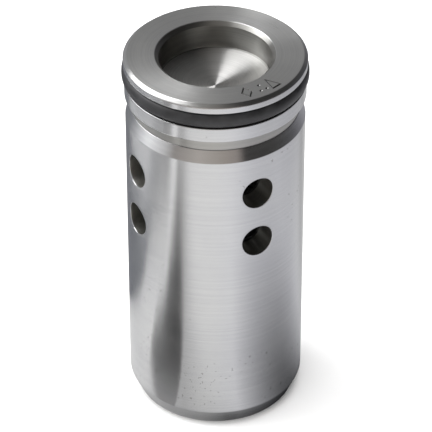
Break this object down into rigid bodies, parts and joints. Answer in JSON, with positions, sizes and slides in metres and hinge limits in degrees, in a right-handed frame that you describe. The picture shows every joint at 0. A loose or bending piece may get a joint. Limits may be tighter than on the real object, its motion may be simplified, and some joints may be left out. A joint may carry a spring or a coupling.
{
  "type": "hydraulic cartridge check valve",
  "caption": "Slip-in round cartridge check valve with side ports, an O-ring head and a sprung poppet behind an adjustable spring seat.",
  "frame": {"origin": "centre of the nose's end face, on the valve axis", "axes": "+Z along the valve axis, from the open nose to the head; side ports along X and Y; punch marks on the head towards -Y"},
  "size_m": [0.0414, 0.0414, 0.09],
  "materials": {
    "sleeve_steel": "fine turned, satin",
    "head_steel": "face turned, satin",
    "hardened_steel": "ground",
    "spring_steel": "drawn wire, oiled",
    "black_oxide_steel": "black oxide",
    "zinc_plate": "bright zinc plate",
    "nitrile_rubber": "moulded, slightly oily",
    "polyurethane": "moulded amber",
    "bronze_ptfe": "bronze-filled PTFE, matt",
    "white_ptfe": "virgin PTFE, waxy",
    "nylon": "moulded"
  },
  "bodies": {
    "cartridge": {"valve_sleeve": "sleeve_steel", "head_plug": "head_steel", "head_o_ring": "nitrile_rubber", "seat_ring": "hardened_steel", "seat_backup_ring": "white_ptfe", "seat_o_ring": "nitrile_rubber", "seat_snap_ring": "spring_steel", "nose_circlip": "black_oxide_steel", "poppet_spring": "spring_steel"},
    "poppet": {"poppet": "hardened_steel", "poppet_seal": "polyurethane", "seal_retainer": "zinc_plate", "retainer_lock_washer": "zinc_plate", "retainer_screw": "black_oxide_steel", "poppet_guide_ring_lower": "bronze_ptfe", "poppet_guide_ring_upper": "bronze_ptfe", "upper_spring_washer": "zinc_plate"},
    "spring_seat": {"lower_spring_washer": "zinc_plate"},
    "adjuster": {"adjuster_ring": "zinc_plate", "adjuster_lock_pellet": "nylon"}
  },
  "joints": [
    {"name": "poppet_slide", "type": "slide", "parent": "cartridge", "child": "poppet", "axis": [0, 0, -1], "range_m": [0, 0.0048], "stiffness_N_per_m": 8450, "springref_m": -0.008, "deforming": ["poppet_spring"]},
    {"name": "adjuster_travel", "type": "slide", "parent": "cartridge", "child": "spring_seat", "axis": [0, 0, -1], "range_m": [0, 0.003]},
    {"name": "adjuster_turn", "type": "hinge", "parent": "spring_seat", "child": "adjuster", "pos_m": [0, 0, 0.0105], "axis": [0, 0, -1], "range_deg": [0, 720]}
  ],
  "couplings": [
    {"joint": "adjuster_travel", "follows": "adjuster_turn", "m_per_rad": 0.00023873}
  ]
}
